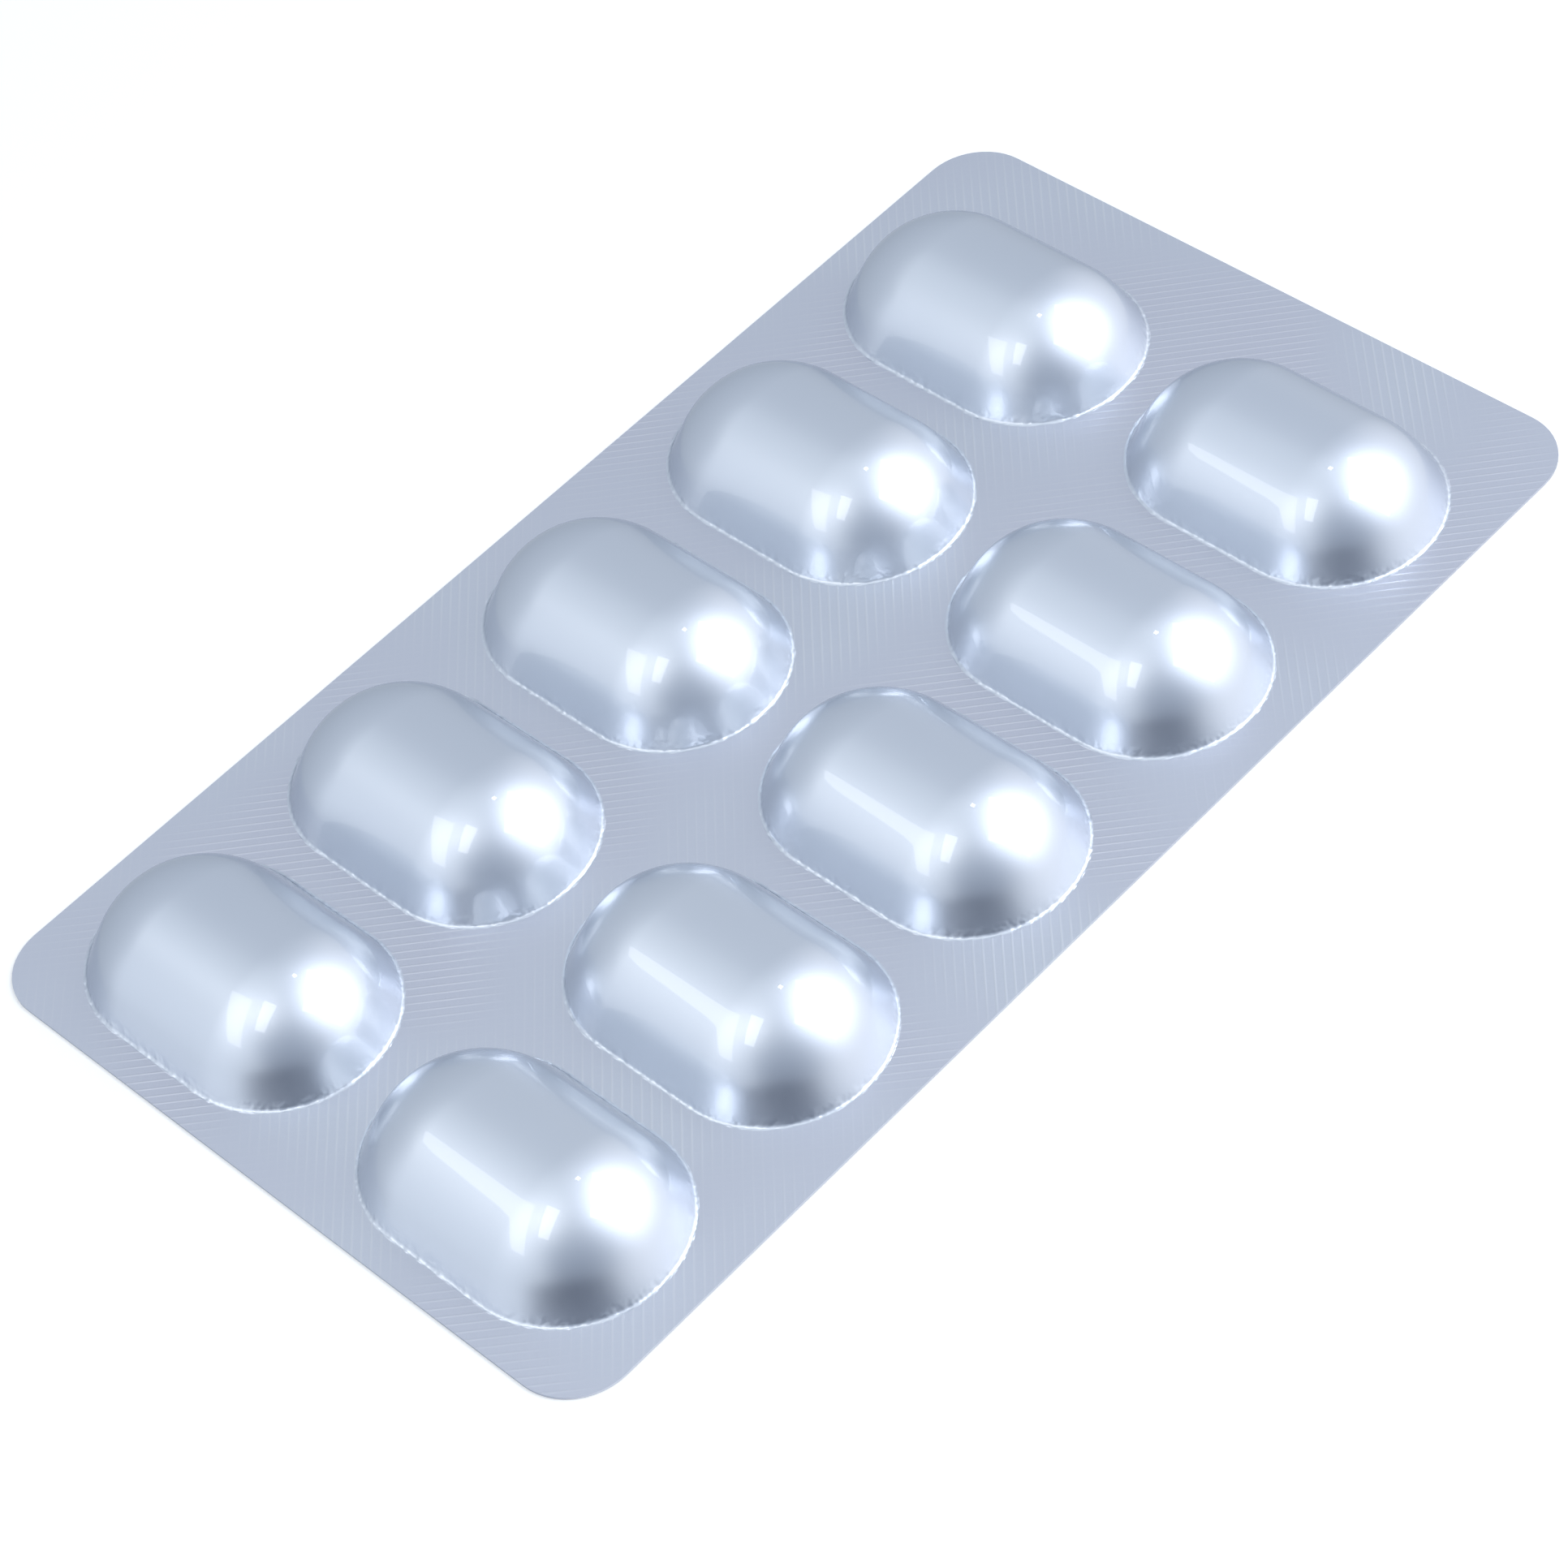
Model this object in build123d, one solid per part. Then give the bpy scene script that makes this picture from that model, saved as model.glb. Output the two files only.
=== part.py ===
from build123d import *
from math import radians, tan
import os

# Cold-formed pill blister pack: a thin card of heat-sealed foil with two columns of domed,
# round-ended pockets, each holding one large tablet. The pack is sealed and opaque, so it is
# one closed solid: the card with its filled pockets.
# The origin is on the flat underside, at the middle of the card.
# +X runs along the card, +Y across it (the way the pockets lie), +Z up out of the pockets.

# Pocket, measured where its wall would meet the card
POCKET_LENGTH = 25.8
POCKET_WIDTH = 16.9
POCKET_HEIGHT = 6.5
WALL_SLOPE = 62.0
FOOT_RADIUS = 0.35

# Card
ROWS = 5
COLUMNS = 2
WEB = 3.1
SIDE_MARGIN = 3.0
NEAR_MARGIN = 2.6
FAR_MARGIN = 6.7
CARD_THICKNESS = 0.2
CORNER_RADIUS = 4.8

ROW_PITCH = POCKET_WIDTH + WEB
COLUMN_PITCH = POCKET_LENGTH + WEB
ROWS_SPAN = (ROWS - 1) * ROW_PITCH + POCKET_WIDTH
COLUMNS_SPAN = (COLUMNS - 1) * COLUMN_PITCH + POCKET_LENGTH
CARD_LENGTH = NEAR_MARGIN + ROWS_SPAN + FAR_MARGIN
CARD_WIDTH = COLUMNS_SPAN + 2 * SIDE_MARGIN
# The wide margin at the +X end moves the pockets towards -X
ROWS_CENTRE = (NEAR_MARGIN - FAR_MARGIN) / 2


def pocket_section():
    """Half of a pocket's cross-section: one crown arc that runs tangent into a straight wall."""
    half_width = POCKET_WIDTH / 2
    top = CARD_THICKNESS + POCKET_HEIGHT
    wall_run = POCKET_HEIGHT / tan(radians(WALL_SLOPE))
    crown_radius = (half_width - wall_run) / tan(radians(WALL_SLOPE / 2))
    with BuildSketch(Plane.XZ) as section:
        with BuildLine():
            crown = CenterArc((0, top - crown_radius), crown_radius, 90, -WALL_SLOPE)
            Polyline(crown @ 1, (half_width, CARD_THICKNESS), (half_width, 0), (0, 0), (0, top))
        make_face()
    return section.sketch


def pocket():
    """One filled pocket, its length along Y: a straight vault with a half dome at each end."""
    section = pocket_section()
    straight = POCKET_LENGTH - POCKET_WIDTH
    half_vault = extrude(section, straight / 2, both=True)
    half_dome = Pos(0, straight / 2, 0) * revolve(section, Axis.Z, 180)
    return half_vault + mirror(half_vault, Plane.YZ) + half_dome + mirror(half_dome, Plane.XZ)


def blister_pack():
    """The card with every pocket in place and a formed radius round the foot of each."""
    card = extrude(RectangleRounded(CARD_LENGTH, CARD_WIDTH, CORNER_RADIUS), CARD_THICKNESS)
    places = Pos(ROWS_CENTRE, 0, 0) * GridLocations(ROW_PITCH, COLUMN_PITCH, ROWS, COLUMNS)
    pack = card + [place * pocket() for place in places]
    card_face = pack.faces().filter_by(Axis.Z).sort_by(Axis.Z)[-1]
    feet = [edge for wire in card_face.inner_wires() for edge in wire.edges()]
    return fillet(feet, FOOT_RADIUS)


os.makedirs("parts", exist_ok=True)
export_step(blister_pack(), "parts/blister_pack.step")
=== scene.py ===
# Looks of a cold-formed pill blister pack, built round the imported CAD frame.
# Two foils are sealed face to face: a forming foil drawn up into domed pockets, and a flat lidding
# foil that closes them from below. Sizes are in millimetres until MM turns them into metres.
import logging
from dataclasses import dataclass, field
from enum import Enum
from math import cos, pi, radians, sin, tan

import bmesh
import bpy
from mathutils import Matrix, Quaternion, Vector


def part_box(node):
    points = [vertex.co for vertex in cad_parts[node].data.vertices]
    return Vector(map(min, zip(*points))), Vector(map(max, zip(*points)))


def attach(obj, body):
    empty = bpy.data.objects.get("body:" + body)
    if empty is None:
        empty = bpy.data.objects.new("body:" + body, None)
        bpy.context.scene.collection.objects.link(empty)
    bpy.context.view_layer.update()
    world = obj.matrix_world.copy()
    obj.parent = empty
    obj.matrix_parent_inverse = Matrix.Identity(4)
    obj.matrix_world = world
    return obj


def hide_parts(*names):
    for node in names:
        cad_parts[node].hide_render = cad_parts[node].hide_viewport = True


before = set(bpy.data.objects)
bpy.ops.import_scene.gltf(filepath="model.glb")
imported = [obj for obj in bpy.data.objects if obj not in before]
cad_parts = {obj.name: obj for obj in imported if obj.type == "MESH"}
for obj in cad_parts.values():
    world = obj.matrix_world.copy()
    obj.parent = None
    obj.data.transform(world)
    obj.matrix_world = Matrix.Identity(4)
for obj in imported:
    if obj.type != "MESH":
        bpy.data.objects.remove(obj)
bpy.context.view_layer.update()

MM = 0.001
NODE = "blister_pack"
BODY = "root"
MERGE_DISTANCE = 0.001 * MM

# Vertex mark that is 1 on the flat web, where the two foils are sealed, and 0 on the forms
SEALED = "sealed"

# The mix node's sockets that carry colours, by their places: share, colour under, colour over, result
MIX_SHARE, MIX_UNDER, MIX_OVER = 0, 6, 7
MIX_RESULT = 2

# The sRGB curve: a straight toe, then an offset power
SRGB_TOE_END = 0.04045
SRGB_TOE_SLOPE = 12.92
SRGB_OFFSET = 0.055
SRGB_POWER = 2.4

Tree = bpy.types.NodeTree
Socket = bpy.types.NodeSocket
Colour = tuple[float, float, float, float]

log = logging.getLogger("blister_pack")


class Side(Enum):
    """Which way a sheet's modelled face looks; the sheet's thickness lies behind that face."""

    UP = 1
    DOWN = -1


def linear(hex_colour: str) -> Colour:
    """Turns an sRGB hex colour into linear RGBA.

    Args:
        hex_colour: six hex digits after a hash sign.

    Returns:
        The linear red, green and blue, and an alpha of one.
    """
    parts = [int(hex_colour[i : i + 2], 16) / 255 for i in (1, 3, 5)]
    red, green, blue = (
        p / SRGB_TOE_SLOPE if p <= SRGB_TOE_END else ((p + SRGB_OFFSET) / (1 + SRGB_OFFSET)) ** SRGB_POWER
        for p in parts
    )
    return red, green, blue, 1.0


def add_node(
    tree: Tree,
    kind: str,
    settings: dict[str, object] | None = None,
    inputs: dict[str | int, object] | None = None,
) -> bpy.types.Node:
    """Adds a node with its settings and inputs.

    Args:
        tree: the node tree that gets the node.
        kind: the node's type name.
        settings: values of the node's own properties.
        inputs: for each input socket, a constant value or the socket that feeds it.

    Returns:
        The new node.
    """
    made = tree.nodes.new(kind)
    for name, value in (settings or {}).items():
        setattr(made, name, value)
    for name, value in (inputs or {}).items():
        if isinstance(value, Socket):
            tree.links.new(value, made.inputs[name])
        else:
            made.inputs[name].default_value = value
    return made


def combine(tree: Tree, operation: str, *terms: Socket | float) -> Socket:
    """Works out a number from other numbers.

    Args:
        tree: the node tree that gets the node.
        operation: the name of the math operation.
        terms: its terms in order, each a socket or a constant.

    Returns:
        The socket that gives the result.
    """
    return add_node(tree, "ShaderNodeMath", {"operation": operation}, dict(enumerate(terms))).outputs[0]


def remap(
    tree: Tree, value: Socket, span: tuple[float, float], result: tuple[float, float], soft: bool = False
) -> Socket:
    """Maps one span of numbers onto another and holds the end values outside it.

    Args:
        tree: the node tree that gets the node.
        value: the number that is mapped.
        span: the two ends of the span that is mapped.
        result: what the two ends become.
        soft: whether the change starts and stops gently.

    Returns:
        The socket that gives the result.
    """
    settings = {"interpolation_type": "SMOOTHSTEP" if soft else "LINEAR"}
    inputs = dict(enumerate((value, *span, *result)))
    return add_node(tree, "ShaderNodeMapRange", settings, inputs).outputs[0]


def mix_colours(tree: Tree, share: Socket, under: Socket | Colour, over: Socket | Colour) -> Socket:
    """Lays one colour over another.

    Args:
        tree: the node tree that gets the node.
        share: how much of the upper colour shows, from 0 to 1.
        under: the lower colour.
        over: the upper colour.

    Returns:
        The socket that gives the mixed colour.
    """
    inputs = {MIX_SHARE: share, MIX_UNDER: under, MIX_OVER: over}
    return add_node(tree, "ShaderNodeMix", {"data_type": "RGBA"}, inputs).outputs[MIX_RESULT]


def sealed_mark(tree: Tree) -> Socket:
    """Reads the mark that is 1 on the sealed web and 0 on the forms."""
    return add_node(tree, "ShaderNodeAttribute", {"attribute_name": SEALED}).outputs["Fac"]


# ---------------------------------------------------------------- finishes


@dataclass(frozen=True)
class Knurl:
    """The crossed ribs that the heated sealing roll presses into both foils.

    Sizes are in millimetres. Each way of ribs fades to faint over its own band of the broad noise.
    """

    pitch: float = 0.68
    rib_width: float = 0.26
    depth: float = 0.012
    turn: float = 45.0
    faint: float = 0.1
    first_fades_out: tuple[float, float] = (0.41, 0.5)
    second_fades_in: tuple[float, float] = (0.5, 0.59)

    def height(self, tree: Tree, place: Socket, uneven: Socket) -> Socket:
        """Makes the ribs' height from 0 to 1: here one way stands out, there the other.

        Args:
            tree: the material's node tree.
            place: the piece's own coordinates, in metres.
            uneven: broad noise that says which way stands out.

        Returns:
            The socket that gives the height.
        """
        turned = add_node(
            tree,
            "ShaderNodeMapping",
            inputs={
                "Vector": place,
                "Rotation": (0, 0, radians(self.turn)),
                "Scale": (1 / (self.pitch * MM),) * 3,
            },
        )
        axes = add_node(tree, "ShaderNodeSeparateXYZ", inputs={0: turned.outputs[0]})
        shares = (
            remap(tree, uneven, self.first_fades_out, (1.0, self.faint)),
            remap(tree, uneven, self.second_fades_in, (self.faint, 1.0)),
        )
        half_rib = self.rib_width / self.pitch / 2
        ribs = []
        for axis, share in zip(("X", "Y"), shares):
            # Distance from the nearest rib's middle, counted in pitches
            off_line = combine(tree, "PINGPONG", axes.outputs[axis], 0.5)
            rib = remap(tree, off_line, (0.0, half_rib), (1.0, 0.0), soft=True)
            ribs.append(combine(tree, "MULTIPLY", rib, share))
        return combine(tree, "MULTIPLY", combine(tree, "MAXIMUM", *ribs), sealed_mark(tree))


@dataclass(frozen=True)
class FoilFinish:
    """An aluminium foil under a clear film or lacquer.

    The rolled metal below gives soft, wide reflections, and the film over it gives sharp ones.
    Lengths and depths are in millimetres.
    """

    name: str
    metal: str
    metal_shade: str
    roughness: float
    film_roughness: float
    film_weight: float = 1.0
    film_ior: float = 1.5
    # Darker at a glancing angle than bare metal is, to keep the domes' outlines from going white
    edge_tint: str = "#ACB4BE"
    wave_length: float = 7.0
    wave_depth: float = 0.006
    patch_length: float = 28.0
    # The web's own tone, laid on unevenly: its share over a band of the broad noise
    web: str = "#E4E5EF"
    web_band: tuple[float, float] = (0.38, 0.62)
    web_share: tuple[float, float] = (0.3, 1.0)
    # Painted light: the ribs' tops are painted a little brighter than the grooves between them, as a
    # painted highlight on the ridges
    rib: str = "#FFFFFF"
    rib_light_share: float = 0.32
    # Creases are full up to the lower height above the underside and gone at the upper one
    crease_length: float = 0.7
    crease_depth: float = 0.0
    crease_heights: tuple[float, float] = (0.25, 1.0)
    knurl: Knurl = field(default_factory=Knurl)

    def build(self) -> bpy.types.Material:
        """Builds the material.

        Returns:
            The finished material.
        """
        made = bpy.data.materials.new(self.name)
        made.use_nodes = True
        tree = made.node_tree
        tree.nodes.clear()
        place = add_node(tree, "ShaderNodeTexCoord").outputs["Object"]
        patches = self._noise(tree, place, self.patch_length, detail=2.0)
        ribs = self.knurl.height(tree, place, patches)
        normal = self._normal(tree, place, ribs)
        shader = add_node(
            tree,
            "ShaderNodeBsdfPrincipled",
            inputs={
                "Base Color": self._colour(tree, patches, ribs),
                "Metallic": 1.0,
                "Roughness": self.roughness,
                "Specular Tint": linear(self.edge_tint),
                "Normal": normal,
                "Coat Weight": self.film_weight,
                "Coat Roughness": self.film_roughness,
                "Coat IOR": self.film_ior,
                "Coat Normal": normal,
            },
        )
        add_node(tree, "ShaderNodeOutputMaterial", inputs={"Surface": shader.outputs[0]})
        return made

    def _colour(self, tree: Tree, patches: Socket, ribs: Socket) -> Socket:
        """Makes the metal's colour: patches of tone, the web's own tone, and a painted highlight on the rib
        tops.

        Args:
            tree: the material's node tree.
            patches: broad noise from 0 to 1.
            ribs: the ribs' height from 0 to 1.

        Returns:
            The socket that gives the colour.
        """
        metal = mix_colours(tree, patches, linear(self.metal), linear(self.metal_shade))
        uneven = remap(tree, patches, self.web_band, self.web_share)
        web_share = combine(tree, "MULTIPLY", sealed_mark(tree), uneven)
        toned = mix_colours(tree, web_share, metal, linear(self.web))
        # Painted highlight: the rib tops are lightened towards white, which leaves painted shade in the
        # grooves
        painted_rib_light = combine(tree, "MULTIPLY", ribs, self.rib_light_share)
        return mix_colours(tree, painted_rib_light, toned, linear(self.rib))

    def _normal(self, tree: Tree, place: Socket, ribs: Socket) -> Socket:
        """Makes the bumped normal from soft waves, the ribs and the creases.

        Args:
            tree: the material's node tree.
            place: the piece's own coordinates, in metres.
            ribs: the ribs' height from 0 to 1.

        Returns:
            The socket that gives the normal.
        """
        waves = self._noise(tree, place, self.wave_length, detail=1.0)
        height = combine(tree, "MULTIPLY_ADD", waves, self.wave_depth * MM, 0.0)
        height = combine(tree, "MULTIPLY_ADD", ribs, self.knurl.depth * MM, height)
        if self.crease_depth:
            creases = self._creases(tree, place)
            height = combine(tree, "MULTIPLY_ADD", creases, self.crease_depth * MM, height)
        # The heights are in metres already, so the bump adds no scale of its own
        bump = add_node(tree, "ShaderNodeBump", inputs={"Strength": 1.0, "Distance": 1.0, "Height": height})
        return bump.outputs[0]

    def _creases(self, tree: Tree, place: Socket) -> Socket:
        """Makes the small creases that the drawing die leaves round each pocket's foot.

        Args:
            tree: the material's node tree.
            place: the piece's own coordinates, in metres.

        Returns:
            The socket that gives the creases' height, from about -0.5 to 0.5.
        """
        level = add_node(tree, "ShaderNodeSeparateXYZ", inputs={0: place}).outputs["Z"]
        full, gone = self.crease_heights
        near_foot = remap(tree, level, (full * MM, gone * MM), (1.0, 0.0))
        formed = combine(tree, "SUBTRACT", 1.0, sealed_mark(tree))
        mask = combine(tree, "MULTIPLY", near_foot, formed)
        # Noise about zero, so that the mask's own edge makes no step
        creases = combine(tree, "SUBTRACT", self._noise(tree, place, self.crease_length, detail=1.0), 0.5)
        return combine(tree, "MULTIPLY", mask, creases)

    def _noise(self, tree: Tree, place: Socket, size: float, detail: float) -> Socket:
        """Makes soft noise from 0 to 1 with patches of a given size.

        Args:
            tree: the material's node tree.
            place: the piece's own coordinates, in metres.
            size: the width of a patch, in millimetres.
            detail: how many finer layers the noise has.

        Returns:
            The socket that gives the noise.
        """
        inputs = {"Vector": place, "Scale": 1 / (size * MM), "Detail": detail}
        return add_node(tree, "ShaderNodeTexNoise", inputs=inputs).outputs[0]


@dataclass(frozen=True)
class FloorFinish:
    """Matt white studio paper: almost no shine, and a faint glow that keeps it white in dim light."""

    name: str = "matt_white_paper"
    colour: str = "#FFFDF8"
    roughness: float = 0.9
    shine: float = 0.1
    glow: float = 0.14

    def build(self) -> bpy.types.Material:
        """Builds the material.

        Returns:
            The finished material.
        """
        made = bpy.data.materials.new(self.name)
        made.use_nodes = True
        shader = made.node_tree.nodes["Principled BSDF"]
        shader.inputs["Base Color"].default_value = linear(self.colour)
        shader.inputs["Roughness"].default_value = self.roughness
        shader.inputs["Specular IOR Level"].default_value = self.shine
        shader.inputs["Emission Color"].default_value = linear(self.colour)
        shader.inputs["Emission Strength"].default_value = self.glow
        return made


# Nylon film over soft aluminium: a pale, faintly blue metal with wide soft highlights under sharp window
# glints. The index is above nylon's 1.53, because the film also stands for the mirror-like part of the
# rolled metal's reflection. Only this foil is drawn, so only this one has creases.
FORMING_FINISH = FoilFinish(
    name="nylon_coated_forming_foil",
    metal="#ECF1F7",
    metal_shade="#E4EAF3",
    roughness=0.42,
    film_roughness=0.015,
    film_ior=1.9,
    crease_depth=0.11,
)

# Hard-rolled lidding aluminium under a thin lacquer: a slightly greyer metal with narrower highlights
# than the front, under fainter and softer glints
LIDDING_FINISH = FoilFinish(
    name="lacquered_lidding_foil",
    metal="#E2E5EA",
    metal_shade="#DADEE5",
    web="#E4E5EA",
    roughness=0.30,
    film_roughness=0.12,
    film_weight=0.6,
)


# ---------------------------------------------------------------- forms


@dataclass(frozen=True)
class RoundEndedForm:
    """A form with a straight vault and half a dome at each end, lying along Y.

    Its section is one crown arc, a straight wall and a formed radius at the foot. Sizes are in
    millimetres, the slope is in degrees, and the steps are counts of mesh divisions.
    """

    length: float = 25.8
    width: float = 16.9
    height: float = 6.5
    wall_slope: float = 62.0
    foot_radius: float = 0.35
    flat_rim: float = 0.12
    crown_steps: int = 20
    wall_steps: int = 3
    foot_steps: int = 6
    dome_steps: int = 40
    vault_steps: int = 4

    @property
    def straight(self) -> float:
        """Length of the vault between the two domes."""
        return self.length - self.width

    def section(self) -> list[Vector]:
        """Works out the half section from the ridge to the flat rim round the foot.

        Returns:
            Points in the XZ plane in millimetres, above the flat.
        """
        slope = radians(self.wall_slope)
        half_width = self.width / 2
        crown_radius = (half_width - self.height / tan(slope)) / tan(slope / 2)
        crown = [
            Vector((crown_radius * sin(a), 0, self.height - crown_radius * (1 - cos(a))))
            for a in (slope * i / self.crown_steps for i in range(self.crown_steps + 1))
        ]
        foot_run = self.foot_radius * tan(slope / 2)
        rim = half_width + foot_run
        foot = [
            Vector((rim - self.foot_radius * sin(a), 0, self.foot_radius * (1 - cos(a))))
            for a in (slope * (1 - i / self.foot_steps) for i in range(self.foot_steps + 1))
        ]
        wall = [crown[-1].lerp(foot[0], i / self.wall_steps) for i in range(1, self.wall_steps)]
        return [*crown, *wall, *foot, foot[-1] + Vector((self.flat_rim, 0, 0))]

    def mesh(self, name: str, base: float) -> bpy.types.Mesh:
        """Builds the form, open below, with its flat rim at a given height.

        Args:
            name: the mesh's name.
            base: height of the flat rim, in millimetres.

        Returns:
            The mesh, in metres, centred on the Z axis.
        """
        bm = bmesh.new()
        middle = Vector((0, self.straight / 2, base))
        line = [bm.verts.new((p + middle) * MM) for p in self.section()]
        edges = [bm.edges.new(pair) for pair in zip(line, line[1:])]
        turned = bmesh.ops.spin(
            bm, geom=[*line, *edges], cent=middle * MM, axis=(0, 0, 1), angle=pi, steps=self.dome_steps
        )
        ends = [*edges, *(e for e in turned["geom_last"] if isinstance(e, bmesh.types.BMEdge))]
        step = Vector((0, -self.straight / 2 / self.vault_steps, 0)) * MM
        for _ in range(self.vault_steps):
            pulled = bmesh.ops.extrude_edge_only(bm, edges=ends)["geom"]
            ends = [e for e in pulled if isinstance(e, bmesh.types.BMEdge)]
            ends = [e for e in ends if all(v in pulled for v in e.verts)]
            ends = [e for e in ends if abs(e.verts[0].co.y - e.verts[1].co.y) < MERGE_DISTANCE]
            corners = list(dict.fromkeys(v for e in ends for v in e.verts))
            bmesh.ops.translate(bm, verts=corners, vec=step)
        everything = bm.verts[:] + bm.edges[:] + bm.faces[:]
        bmesh.ops.mirror(bm, geom=everything, axis="Y", merge_dist=MERGE_DISTANCE)
        bmesh.ops.remove_doubles(bm, verts=bm.verts, dist=MERGE_DISTANCE)
        bmesh.ops.recalc_face_normals(bm, faces=bm.faces)
        # A spin's edges and faces come in another order each run, so the mesh is made from sorted faces
        bm.verts.index_update()
        faces = sorted([v.index for v in f.verts] for f in bm.faces)
        made = bpy.data.meshes.new(name)
        made.from_pydata([v.co for v in bm.verts], [], faces)
        bm.free()
        return made


@dataclass(frozen=True)
class CardLayout:
    """Where the pockets lie on the card, and its rounded corners, in millimetres."""

    rows: int = 5
    columns: int = 2
    row_pitch: float = 20.0
    column_pitch: float = 28.9
    rows_centre: float = -2.05
    corner_radius: float = 4.8
    corner_steps: int = 12

    def places(self) -> list[Vector]:
        """Lists the pockets' centres in metres, one column after the other."""
        return [
            Vector(
                (
                    self.rows_centre + (row - (self.rows - 1) / 2) * self.row_pitch,
                    (column - (self.columns - 1) / 2) * self.column_pitch,
                    0,
                )
            )
            * MM
            for column in range(self.columns)
            for row in range(self.rows)
        ]

    def outline(self, bm: bmesh.types.BMesh, height: float) -> list[bmesh.types.BMEdge]:
        """Adds the card's rounded outline, sized from the CAD card.

        Args:
            bm: the mesh that gets the outline.
            height: its height in millimetres.

        Returns:
            The edges of the outline.
        """
        low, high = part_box(NODE)
        half = (high - low) / 2
        middle = (high + low) / 2
        grid = bmesh.ops.create_grid(bm, x_segments=1, y_segments=1, size=1)["verts"]
        bmesh.ops.scale(bm, verts=grid, vec=(half.x, half.y, 1))
        bmesh.ops.translate(bm, verts=grid, vec=(middle.x, middle.y, height * MM))
        rounded = bmesh.ops.bevel(
            bm,
            geom=grid,
            offset=self.corner_radius * MM,
            offset_type="OFFSET",
            segments=self.corner_steps,
            profile=0.5,
            affect="VERTICES",
            material=-1,
        )
        # A dictionary keeps its order, so the web is filled the same way each run; a set's order changes
        card = list(dict.fromkeys(f for v in rounded["verts"] for f in v.link_faces))
        edges = list(dict.fromkeys(e for f in card for e in f.edges))
        bmesh.ops.delete(bm, geom=card, context="FACES_ONLY")
        return edges


@dataclass
class FoilSheet:
    """One foil of the pack: a flat sheet with a form in it at each pocket's place.

    The base is the height of the modelled face's flat web. It and the thickness are in millimetres.
    """

    name: str
    form: RoundEndedForm
    layout: CardLayout
    finish: FoilFinish
    base: float
    thickness: float
    wall_side: Side
    sharp_angle: float = 40.0

    def build(self) -> None:
        """Builds the sheet, gives it its finish and ties it to the CAD model."""
        made = bpy.data.objects.new(self.name, self._mesh())
        bpy.context.scene.collection.objects.link(made)
        made.data.materials.append(self.finish.build())
        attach(made, BODY)
        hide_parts(NODE)
        log.info("%s: %d faces", self.name, len(made.data.polygons))

    def _mesh(self) -> bpy.types.Mesh:
        """Joins the forms with the flat web between them and gives the sheet its thickness.

        Returns:
            The sheet's closed mesh, in metres.
        """
        bm = bmesh.new()
        one = self.form.mesh(self.name + "_form", self.base)
        for place in self.layout.places():
            known = set(bm.verts)
            bm.from_mesh(one)
            bmesh.ops.translate(bm, verts=[v for v in bm.verts if v not in known], vec=place)
        bpy.data.meshes.remove(one)
        holes = [e for e in bm.edges if e.is_boundary]
        outline = self.layout.outline(bm, self.base)
        bmesh.ops.triangle_fill(bm, use_beauty=True, edges=holes + outline, normal=(0, 0, 1))
        bmesh.ops.recalc_face_normals(bm, faces=bm.faces)
        if sum(f.normal.z * f.calc_area() for f in bm.faces) < 0:
            bmesh.ops.reverse_faces(bm, faces=bm.faces)
        self._mark_sealed(bm)
        bmesh.ops.solidify(bm, geom=bm.faces[:], thickness=self.wall_side.value * self.thickness * MM)
        # A sheet thickened against its faces comes out inside out
        bmesh.ops.recalc_face_normals(bm, faces=bm.faces)
        for face in bm.faces:
            face.smooth = True
        made = bpy.data.meshes.new(self.name)
        bm.to_mesh(made)
        bm.free()
        made.set_sharp_from_angle(angle=radians(self.sharp_angle))
        return made

    def _mark_sealed(self, bm: bmesh.types.BMesh) -> None:
        """Marks the flat web, where the two foils are sealed, with 1, and the forms with 0.

        Args:
            bm: the sheet's mesh, before it has a thickness.
        """
        layer = bm.verts.layers.float.new(SEALED)
        for vert in bm.verts:
            vert[layer] = float(abs(vert.co.z - self.base * MM) < MERGE_DISTANCE)


# ---------------------------------------------------------------- studio


@dataclass(frozen=True)
class SoftLight:
    """A rectangular light of even brightness that faces a given point, in millimetres and degrees."""

    name: str
    place: tuple[float, float, float]
    width: float
    height: float
    radiance: float
    tint: str = "#FFFFFF"
    aim: tuple[float, float, float] = (0.0, 0.0, 0.0)
    roll: float = 0.0

    def build(self) -> None:
        """Builds the light, with its power worked out from its brightness and its area."""
        data = bpy.data.lights.new(self.name, "AREA")
        data.shape = "RECTANGLE"
        data.size = self.width * MM
        data.size_y = self.height * MM
        data.energy = self.radiance * pi * data.size * data.size_y
        data.color = linear(self.tint)[:3]
        made = bpy.data.objects.new(self.name, data)
        bpy.context.scene.collection.objects.link(made)
        made.location = Vector(self.place) * MM
        direction = Vector(self.aim) - Vector(self.place)
        level = direction.to_track_quat("-Z", "Y")
        made.rotation_mode = "QUATERNION"
        made.rotation_quaternion = level @ Quaternion((0, 0, 1), radians(self.roll))
        made.visible_camera = False


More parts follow.
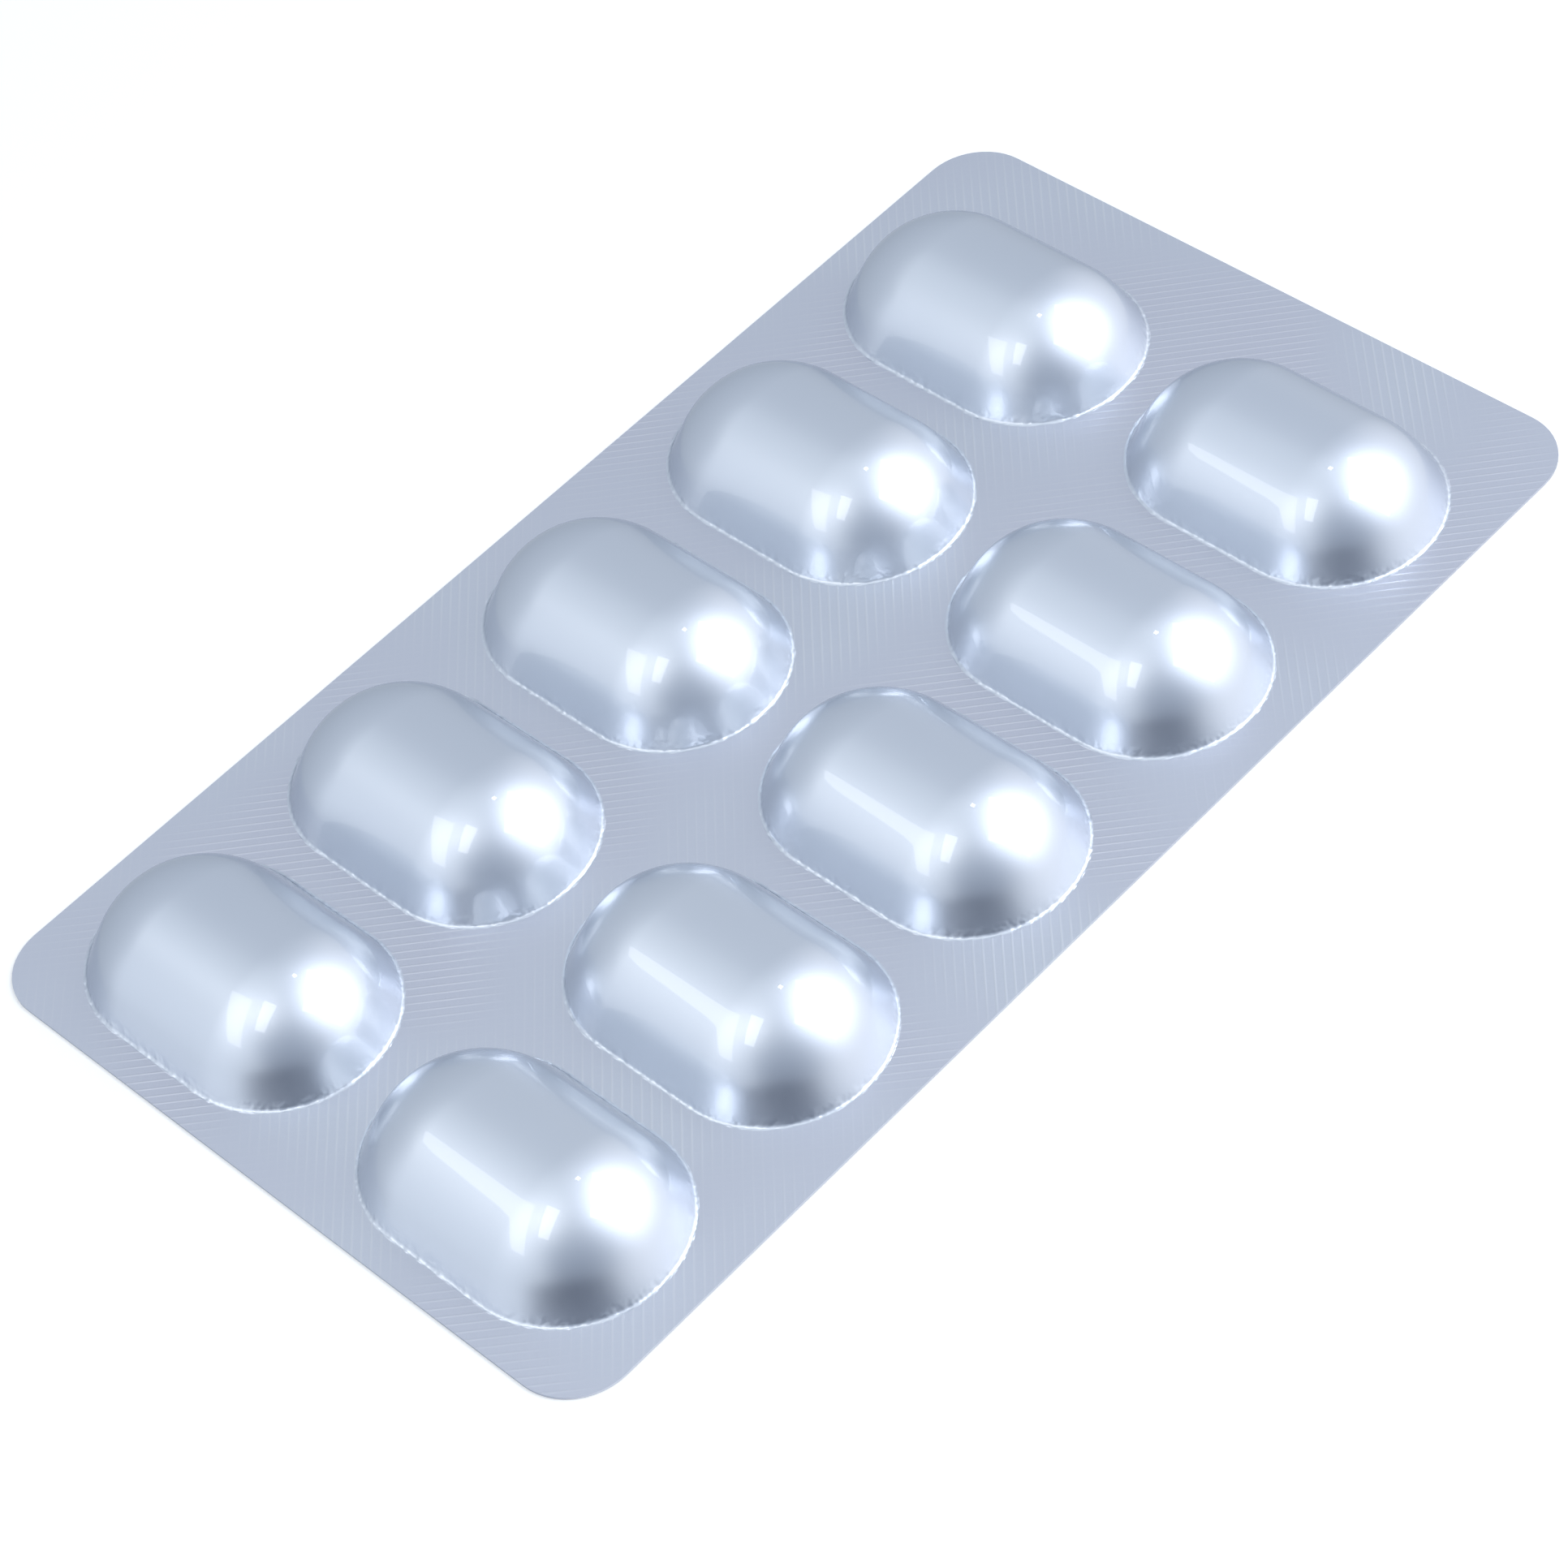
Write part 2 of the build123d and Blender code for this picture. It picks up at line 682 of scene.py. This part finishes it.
@dataclass(frozen=True)
class SkyPatch:
    """A soft-edged patch of another brightness on the studio's walls, given by its direction.

    Angles are in degrees. The patch is full up to the inner one and gone at the outer one, and a
    flatten above 1 makes it wider than it is high.
    """

    azimuth: float
    elevation: float
    inner: float
    outer: float
    colour: str
    strength: float = 1.0
    share: float = 1.0
    flatten: float = 1.0

    def lay(self, tree: Tree, ray: Socket, under: Socket) -> Socket:
        """Lays the patch over what is already there.

        Args:
            tree: the world's node tree.
            ray: the direction looked along.
            under: the colour under the patch.

        Returns:
            The socket that gives the new colour.
        """
        turn, rise = radians(self.azimuth), radians(self.elevation)
        towards = Vector((cos(turn) * cos(rise), sin(turn) * cos(rise), self.flatten * sin(rise)))
        stretched = add_node(
            tree,
            "ShaderNodeVectorMath",
            {"operation": "MULTIPLY"},
            {0: ray, 1: (1.0, 1.0, self.flatten)},
        )
        unit = add_node(
            tree, "ShaderNodeVectorMath", {"operation": "NORMALIZE"}, {0: stretched.outputs[0]}
        )
        near = add_node(
            tree,
            "ShaderNodeVectorMath",
            {"operation": "DOT_PRODUCT"},
            {0: unit.outputs[0], 1: towards.normalized()},
        ).outputs["Value"]
        edge = cos(radians(self.outer)), cos(radians(self.inner))
        cover = remap(tree, near, edge, (0.0, self.share), soft=True)
        bright = tuple(self.strength * part for part in linear(self.colour)[:3])
        return mix_colours(tree, cover, under, (*bright, 1.0))


# What the domes mirror: a broad highlight, a window of two panes with a dim frame between them, and a
# small sharp lamp
LIGHTS = (
    SoftLight(
        name="key_softbox",
        place=(205, -215, 295),
        width=360,
        height=350,
        radiance=2.5,
        tint="#F0F5FF",
    ),
    SoftLight(
        name="window_pane_a",
        place=(-180, -38, 267),
        aim=(-180, -38, 0),
        width=62,
        height=170,
        radiance=1.6,
        roll=105,
    ),
    SoftLight(
        name="window_pane_b",
        place=(-350, 109, 267),
        aim=(-350, 109, 0),
        width=150,
        height=410,
        radiance=0.9,
        roll=98,
    ),
    SoftLight(
        name="window_frame",
        place=(-185, 42, 267),
        aim=(-185, 42, 0),
        width=90,
        height=150,
        radiance=0.15,
        tint="#F1EEFF",
        roll=90,
    ),
    SoftLight(name="ceiling_lamp", place=(75, 7, 290), width=18, height=18, radiance=7.5),
)

# Laid in this order, each over the ones before it: four bright patches, then the two dark ones
WALL_PATCHES = (
    SkyPatch(azimuth=-60, elevation=-50, inner=30, outer=75, colour="#EAF1FC"),
    SkyPatch(
        azimuth=-30, elevation=0, inner=28, outer=70, colour="#F0F5FF", strength=0.98, flatten=1.2
    ),
    SkyPatch(azimuth=170, elevation=8, inner=22, outer=50, colour="#E9F2FF", strength=0.94),
    SkyPatch(azimuth=135, elevation=66, inner=8, outer=40, colour="#E2EBF6", share=0.9),
    SkyPatch(azimuth=-126, elevation=30, inner=8, outer=38, colour="#546783", share=0.6),
    SkyPatch(azimuth=-137, elevation=-3, inner=22, outer=46, colour="#0E1D38", flatten=2.1),
)


@dataclass(frozen=True)
class Studio:
    """A white table in a pale room, with a large soft light, a window on the left and a small lamp.

    Sizes are in millimetres. The floor lies a little under the pack, so that the two don't coincide.
    """

    floor_side: float = 6000.0
    floor_gap: float = 0.02
    room: str = "#B8C1CE"

    def build(self) -> None:
        """Builds the floor, the room and the lights."""
        self._floor()
        self._room()
        for light in LIGHTS:
            light.build()

    def _floor(self) -> None:
        """Lays the white table just under the pack, out of sight of the foil's reflections."""
        bm = bmesh.new()
        bmesh.ops.create_grid(bm, x_segments=1, y_segments=1, size=self.floor_side / 2 * MM)
        bmesh.ops.translate(bm, verts=bm.verts, vec=(0, 0, -self.floor_gap * MM))
        data = bpy.data.meshes.new("floor")
        bm.to_mesh(data)
        bm.free()
        data.materials.append(FloorFinish().build())
        made = bpy.data.objects.new("floor", data)
        bpy.context.scene.collection.objects.link(made)
        made.visible_glossy = False

    def _room(self) -> None:
        """Gives the room pale walls, brighter beside the soft light and the window, dark by the camera."""
        world = bpy.data.worlds.new("studio_room")
        bpy.context.scene.world = world
        world.use_nodes = True
        tree = world.node_tree
        tree.nodes.clear()
        ray = add_node(tree, "ShaderNodeTexCoord").outputs["Generated"]
        colour = add_node(tree, "ShaderNodeRGB").outputs[0]
        colour.default_value = linear(self.room)
        for patch in WALL_PATCHES:
            colour = patch.lay(tree, ray, colour)
        back = add_node(tree, "ShaderNodeBackground", inputs={0: colour})
        add_node(tree, "ShaderNodeOutputWorld", inputs={0: back.outputs[0]})


@dataclass(frozen=True)
class StudioCamera:
    """The camera: a long lens held a little askew, well above the card's near corner."""

    place: tuple[float, float, float] = (-131.3, -175.46, 240.74)
    aim: tuple[float, float, float] = (-7.33, -6.32, 3.0)
    roll: float = -13.62
    lens: float = 103.33
    sensor: float = 36.0
    clip_start: float = 1.0

    def build(self) -> None:
        """Builds the camera and makes it the scene's camera."""
        data = bpy.data.cameras.new("camera")
        data.lens = self.lens
        data.sensor_width = self.sensor
        data.clip_start = self.clip_start * MM
        made = bpy.data.objects.new("camera", data)
        bpy.context.scene.collection.objects.link(made)
        made.location = Vector(self.place) * MM
        made.rotation_mode = "QUATERNION"
        level = (Vector(self.aim) - Vector(self.place)).to_track_quat("-Z", "Y")
        made.rotation_quaternion = level @ Quaternion((0, 0, 1), radians(self.roll))
        bpy.context.scene.camera = made


# The two foils together are as thick as the CAD card
CARD_THICKNESS = 0.2
LID_THICKNESS = 0.04

# Where it isn't sealed, the lidding foil stands very slightly up into each pocket
LID_FIELD = RoundEndedForm(
    height=0.12,
    wall_slope=1.5,
    foot_radius=1.0,
    crown_steps=10,
    dome_steps=24,
)


def main() -> None:
    """Builds the camera, the studio and both foils, and notes the size of the result."""
    logging.basicConfig(level=logging.INFO, format="%(name)s %(message)s")
    bpy.context.scene.view_settings.view_transform = "Standard"
    StudioCamera().build()
    Studio().build()
    layout = CardLayout()
    FoilSheet(
        name="forming_foil",
        form=RoundEndedForm(),
        layout=layout,
        finish=FORMING_FINISH,
        base=CARD_THICKNESS,
        thickness=CARD_THICKNESS - LID_THICKNESS,
        wall_side=Side.UP,
    ).build()
    FoilSheet(
        name="lidding_foil",
        form=LID_FIELD,
        layout=layout,
        finish=LIDDING_FINISH,
        base=0.0,
        thickness=LID_THICKNESS,
        wall_side=Side.DOWN,
    ).build()


if __name__ == "__main__":
    main()
